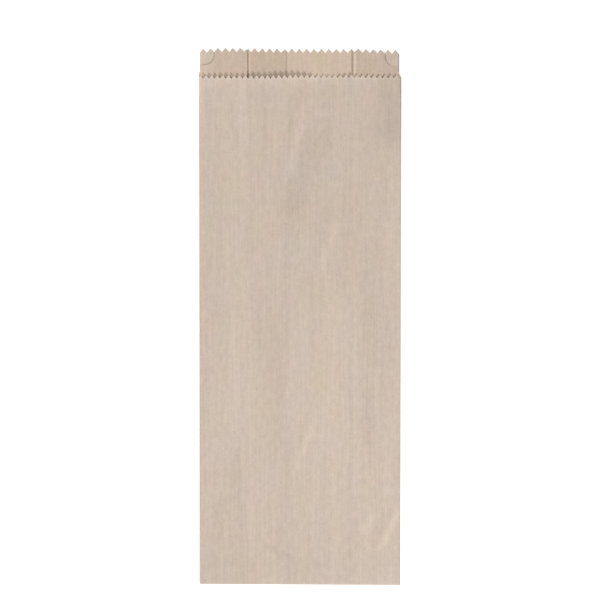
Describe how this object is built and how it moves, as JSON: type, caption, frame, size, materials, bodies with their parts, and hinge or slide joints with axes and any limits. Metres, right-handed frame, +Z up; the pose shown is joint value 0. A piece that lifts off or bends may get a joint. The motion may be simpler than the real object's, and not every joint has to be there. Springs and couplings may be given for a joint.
{
  "type": "paper bag",
  "caption": "Flat brown kraft paper bag with folded side gussets, a pinked mouth whose back panel stands past the front as a lip, and a bottom folded and glued to the back.",
  "frame": {"origin": "middle of the bag's outline, on the surface that it lies on", "axes": "+Y along the bag towards its mouth, +X across it, +Z up through the plies from the back panel to the front panel"},
  "size_m": [0.15, 0.4, 0.0031],
  "materials": {
    "kraft_paper": "uncoated light brown kraft paper, matt, with a faint machine grain along the bag"
  },
  "bodies": {
    "root": {"paper_bag": "kraft_paper"}
  },
  "joints": []
}
